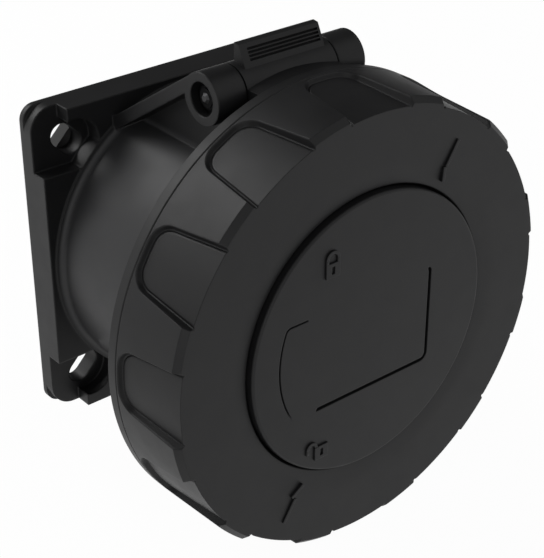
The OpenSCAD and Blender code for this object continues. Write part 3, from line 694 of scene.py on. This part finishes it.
def pin_ends(bm):
    """Hexagonal ends on the hinge pin, low enough to stay in the bores of the lugs."""
    corners = [Vector(corner) for corner in NODES["hinge_pin"].bound_box]
    middle = sum(corners, Vector()) / 8
    reach = corners[6].x + PIN_END_H / 2 - PIN_END_SUNK
    for side in (-1, 1):
        at = Matrix.Translation((side * reach, middle.y, middle.z))
        bmesh.ops.create_cone(
            bm,
            cap_ends=True,
            segments=6,
            radius1=PIN_FOOT_R,
            radius2=PIN_TIP_R,
            depth=PIN_END_H,
            matrix=at @ Matrix.Rotation(math.radians(90 * side), 4, "Y"),
        )


class SOCKET_OT_pin(bpy.types.Operator):
    """Shape the two ends of the hinge pin"""

    bl_idname = "socket.pin"
    bl_label = "Hinge pin ends"

    def execute(self, context):
        bm = bmesh.new()
        pin_ends(bm)
        piece("pin_end_facets", bm, BODY_OF["hinge_pin"], SLOT_OF["hinge_pin"], finish=WORN_STEEL)
        return {"FINISHED"}


# Steps of the locking ring, in millimetres
RING_R, LAND_FRONT_R, CHAMFER = 50.8, 50.2, 1.2
RING_BACK, POCKET_BACK, RING_FACE = 49.15, 52.5, 70.1
FLOOR_BACK_R, FLOOR_FRONT_R = 49.95, 48.5
RING_BORE_R, BACK_CHAMFER = 47.8, 0.5
# The web that runs on the hub, the wall from web to face round the disc, and the back of the face
HUB_RUN, WEB_BACK, WEB_FRONT = 0.08, 65.3, 67.3
WALL_R, FACE_WALL_R, FACE_BACK = 32.05, 35.3, 67.6
# How many pockets, the turn of the first in degrees, and the radius and steps of the sheet they start on
POCKETS, POCKET_TURN, SHEET_R, SHEET_STEPS = 12, -1.5, 50.0, 20
# The outline of a pocket on that sheet, and the rounding of its two back corners
POCKET_CORNERS = ((-6.6, POCKET_BACK), (6.6, POCKET_BACK), (8.8, RING_FACE), (-8.8, RING_FACE))
POCKET_ROUND, POCKET_STEPS = 4.0, 9
# Bands round a pocket from its edge inwards: width, and depth as a share of the floor's.
# What a depth has over 1 is in millimetres below the floor
POCKET_BANDS = (
    (0.10, 0.02), (0.10, 0.12), (0.08, 0.32), (0.12, 1.0), (0.12, 1.2),
    (0.20, 1.28), (0.20, 1.2), (0.14, 1.06), (0.20, 1.0), (0.25, 1.0),
)
# The groove behind the lip: place and depth of its edges and its bottom
LIP_GROOVE = ((51.95, 0.0), (52.2, 0.28), (52.4, 0.0))
# The dish of the face from the rim inwards: radius and depth
FACE_DISH = (
    (48.1, 0.0), (44.5, 0.12), (41.0, 0.22), (38.0, 0.3), (36.4, 0.36), (35.2, 0.46),
    (34.2, 0.53), (33.4, 0.6), (32.8, 0.67), (32.3, 0.74), (WALL_R, 1.0),
)


def land_r(y):
    """Radius of the ring's outside between the pockets."""
    if y <= POCKET_BACK:
        return RING_R - dict(LIP_GROOVE).get(round(y, 2), 0.0)
    if y <= RING_FACE - CHAMFER:
        return between(y, POCKET_BACK, RING_FACE - CHAMFER, RING_R, LAND_FRONT_R)
    return between(y, RING_FACE - CHAMFER, RING_FACE, LAND_FRONT_R, LAND_FRONT_R - CHAMFER)


def pocket_sheet(bm):
    """One pocket's sector of the ring laid flat: x along the rim, y forward, z the share of depth."""
    half = math.pi / POCKETS * SHEET_R
    bm.faces.new([bm.verts.new((x, y, 0)) for x, y in POCKET_CORNERS])
    for at in POCKET_CORNERS[:2]:
        round_corner(bm, at, POCKET_ROUND, POCKET_STEPS)
    floor = bm.faces[:][0]
    path = [loop.vert for loop in floor.loops]
    first = path.index(min(path, key=lambda v: (-round(v.co.y, 3), v.co.x)))
    path = path[first:] + path[:first]
    back = RING_BACK + BACK_CHAMFER
    corners = ((-half, RING_FACE), (-half, back), (half, back), (half, RING_FACE))
    outer = [bm.verts.new((x, y, 0)) for x, y in corners]
    bm.faces.new(outer + path[::-1])
    for width, depth in POCKET_BANDS:
        bmesh.ops.inset_region(
            bm, faces=[floor], thickness=width, use_boundary=False, use_even_offset=True
        )
        for vert in floor.verts:
            vert.co.z = depth
    cut_across(bm, 0, [half * (2 * i / SHEET_STEPS - 1) for i in range(1, SHEET_STEPS)])
    cut_across(bm, 1, [y for y, _ in LIP_GROOVE] + [RING_FACE - CHAMFER])


def bent(flat):
    """A point of the flat sheet, bent round the axis."""
    x, y, depth = flat
    top = land_r(y)
    floor = between(y, POCKET_BACK, RING_FACE, FLOOR_BACK_R, FLOOR_FRONT_R)
    radius = top - (top - floor) * min(depth, 1.0) - max(depth - 1.0, 0.0)
    turn = math.radians(POCKET_TURN) + x / SHEET_R
    return Vector((radius * math.cos(turn), radius * math.sin(turn), y))


def boundary_at(bm, forward):
    """The open edges that stand at one height."""
    edges = [edge for edge in bm.edges if edge.is_boundary]
    return [e for e in edges if all(abs(v.co.z - forward) < SAME_HEIGHT for v in e.verts)]


def ring_shell():
    """The locking ring: grip pockets outside, dished face, web on the hub and open bore."""
    bm = bmesh.new()
    pocket_sheet(bm)
    for vert in bm.verts:
        vert.co = bent(vert.co)
    bmesh.ops.spin(
        bm,
        geom=bm.verts[:] + bm.edges[:] + bm.faces[:],
        cent=(0, 0, 0),
        axis=(0, 0, 1),
        angle=2 * math.pi / POCKETS * (POCKETS - 1),
        steps=POCKETS - 1,
        use_duplicate=True,
    )
    bmesh.ops.remove_doubles(bm, verts=bm.verts, dist=SECTOR_CLOSE)
    back = boundary_at(bm, RING_BACK + BACK_CHAMFER)
    face = [(radius, RING_FACE - dip) for radius, dip in FACE_DISH]
    web_r = HUB_R + HUB_RUN
    inside = [
        (WALL_R, WEB_FRONT),
        (web_r, WEB_FRONT),
        (web_r, WEB_BACK),
        (FACE_WALL_R, WEB_BACK),
        (FACE_WALL_R, FACE_BACK),
        (RING_BORE_R, FACE_BACK),
        (RING_BORE_R, RING_BACK),
        (RING_R - BACK_CHAMFER, RING_BACK),
    ]
    last = draw_on(bm, boundary_at(bm, RING_FACE), face + inside)
    bmesh.ops.bridge_loops(bm, edges=last + back)
    return bm


# Bayonet lugs, in millimetres and degrees. Their roots stand a little inside the wall of the ring
LUG_TURNS, LUG_IN_R, LUG_HALF, LUG_ROOT = (30, 150, 270), 41.5, 4.0, 0.5
LUG_BACK, LUG_FRONT = 50.55, 53.55


def ring_lug(bm, turn):
    """A bayonet lug, spun through its width."""
    half = math.degrees(math.asin(LUG_HALF / RING_BORE_R))
    middle = (LUG_IN_R + RING_BORE_R + LUG_ROOT) / 2
    bow(bm, (0, 0), middle, 2 * (middle - LUG_IN_R), turn - half, 2 * half, LUG_BACK, LUG_FRONT)


# The two broken strokes on the ring's face: ends of each half, then their width and heights
RING_MARKS = (
    ((22.93, 36.69), (19.76, 31.61)), ((19.33, 31.62), (19.02, 28.46)),
    ((-17.72, -30.49), (-20.86, -32.49)), ((-19.89, -33.10), (-23.01, -38.02)),
)
STROKE_WIDTH, STROKE_LOW, STROKE_HIGH = 0.8, RING_FACE - 0.5, RING_FACE + 0.25


class SOCKET_OT_ring(bpy.types.Operator):
    """Build the locking ring with its finger pockets, and raise the broken strokes on its face"""

    bl_idname = "socket.ring"
    bl_label = "Locking ring"

    def execute(self, context):
        body, slot = BODY_OF["locking_ring"], SLOT_OF["locking_ring"]
        bm = ring_shell()
        for turn in LUG_TURNS:
            ring_lug(bm, turn)
        shaded(piece("ring_moulding", into_row(bm), body, slot, ("locking_ring",), CRISP_PLASTIC))
        bm = bmesh.new()
        for start, end in RING_MARKS:
            bar(bm, start, end, STROKE_WIDTH, STROKE_LOW, STROKE_HIGH)
        shaded(piece("ring_marks", into_row(bm), body, slot, finish=CRISP_PLASTIC))
        return {"FINISHED"}


WHITE = (1, 1, 1, 1)
# The floor: radius and drop below the socket in metres, sides of its edge, and colour
FLOOR_R, FLOOR_DROP, FLOOR_STEPS, FLOOR_PALE = 6.0, 0.2 * MM, 64, (0.9, 0.9, 0.9, 1)
# Share of plain white in what the camera sees of the floor. The rest takes the shadow
FLOOR_WHITE = 0.97
# The camera: focal length in millimetres, and the nearest that it shows in metres
LENS, CLIP_START = 95.6, 0.01
# Soft square lamps: name, property with its watts, side in metres, direction, distance in metres
LAMPS = (
    ("key", "key_watts", 0.60, (-0.3225, 0.668, 0.6708), 0.9),
    ("front_fill", "fill_watts", 2.0, (-0.42, -0.68, 0.60), 1.6),
    ("right_fill", "right_watts", 2.0, (0.58, -0.62, 0.52), 1.6),
    ("low_fill", "low_watts", 0.5, (-0.60, -0.68, 0.10), 1.5),
    ("left_window", "window_watts", 0.8, (-0.70, 0.66, 0.30), 1.2),
)


def staged(name, data, away, distance, aim=(0, 0, 0)):
    """A lamp or camera at a distance from a point, turned to look at it."""
    obj = bpy.data.objects.new(name, data)
    bpy.context.scene.collection.objects.link(obj)
    obj.location = Vector(aim) + away * distance
    obj.rotation_mode = "QUATERNION"
    obj.rotation_quaternion = (-away).to_track_quat("-Z", "Y")
    return obj


def white_floor():
    """A pale floor under the socket that takes its shadow and is white to the camera."""
    bm = bmesh.new()
    bmesh.ops.create_circle(bm, cap_ends=True, segments=FLOOR_STEPS, radius=FLOOR_R)
    bmesh.ops.translate(bm, verts=bm.verts, vec=(0, 0, CAD_BOX[0].z - FLOOR_DROP))
    mesh = bpy.data.meshes.new("floor")
    bm.to_mesh(mesh)
    bm.free()
    floor = bpy.data.objects.new("floor", mesh)
    bpy.context.scene.collection.objects.link(floor)
    paint = bpy.data.materials.new("Pale floor")
    mesh.materials.append(paint)
    graph = Graph(paint)
    pale = graph.add("ShaderNodeBsdfDiffuse", None, {"Color": FLOOR_PALE})
    white = graph.add("ShaderNodeEmission", None, {"Color": WHITE, "Strength": 1.0})
    names = ("Is Camera Ray", "Is Glossy Ray", "Is Transmission Ray")
    camera, gloss, through = graph.add("ShaderNodeLightPath", out=names)
    seen = (camera + gloss + through).above(0.0, 1.0)
    graph.ends_in("ShaderNodeOutputMaterial", graph.mixed(seen * FLOOR_WHITE, pale, white))


def room(brightness):
    """A dim even room that is white where the camera sees past the floor."""
    world = bpy.data.worlds.new("Room")
    bpy.context.scene.world = world
    graph = Graph(world)
    camera = graph.add("ShaderNodeLightPath", out="Is Camera Ray")
    dim = graph.add("ShaderNodeBackground", None, {"Color": WHITE, "Strength": brightness})
    white = graph.add("ShaderNodeBackground", None, {"Color": WHITE, "Strength": 1.0})
    graph.ends_in("ShaderNodeOutputWorld", graph.mixed(camera, dim, white))


class SOCKET_OT_stage(bpy.types.Operator):
    """Add the floor, the lights, the room and the camera"""

    bl_idname = "socket.stage"
    bl_label = "Stage"

    def execute(self, context):
        look = settings()[2]
        scene = bpy.context.scene
        scene.view_settings.view_transform = "Standard"
        white_floor()
        room(look.sky)
        for name, power, side, direction, reach in LAMPS:
            light = bpy.data.lights.new(name, "AREA")
            light.energy, light.size = getattr(look, power), side
            staged(name, light, Vector(direction).normalized(), reach)
        level = math.cos(look.elevation)
        across, along = math.sin(look.azimuth), math.cos(look.azimuth)
        back = Vector((-across * level, -along * level, math.sin(look.elevation)))
        data = bpy.data.cameras.new("camera")
        data.lens, data.clip_start = LENS, CLIP_START
        scene.camera = staged("camera", data, back, look.distance, look.aim)
        return {"FINISHED"}


STEPS = (
    SOCKET_OT_finishes,
    SOCKET_OT_housing,
    SOCKET_OT_lid,
    SOCKET_OT_disc,
    SOCKET_OT_pin,
    SOCKET_OT_ring,
    SOCKET_OT_stage,
)


class SOCKET_PT_panel(bpy.types.Panel):
    """Steps that dress the socket"""

    bl_idname = "SOCKET_PT_panel"
    bl_label = "Panel socket"
    bl_space_type = "VIEW_3D"
    bl_region_type = "UI"
    bl_category = "Socket"

    def draw(self, context):
        for step in STEPS:
            self.layout.operator(step.bl_idname)


GROUPS = {"socket_sizes": SocketSizes, "socket_colours": SocketColours, "socket_stage": SocketStage}
CLASSES = (*GROUPS.values(), *STEPS, SOCKET_PT_panel)


def register():
    for cls in CLASSES:
        bpy.utils.register_class(cls)
    for name, group in GROUPS.items():
        setattr(bpy.types.Scene, name, bpy.props.PointerProperty(type=group))


def unregister():
    for name in GROUPS:
        delattr(bpy.types.Scene, name)
    for cls in reversed(CLASSES):
        bpy.utils.unregister_class(cls)


def main():
    register()
    for step in STEPS:
        group, name = step.bl_idname.split(".")
        getattr(getattr(bpy.ops, group), name)()


if __name__ == "__main__":
    main()
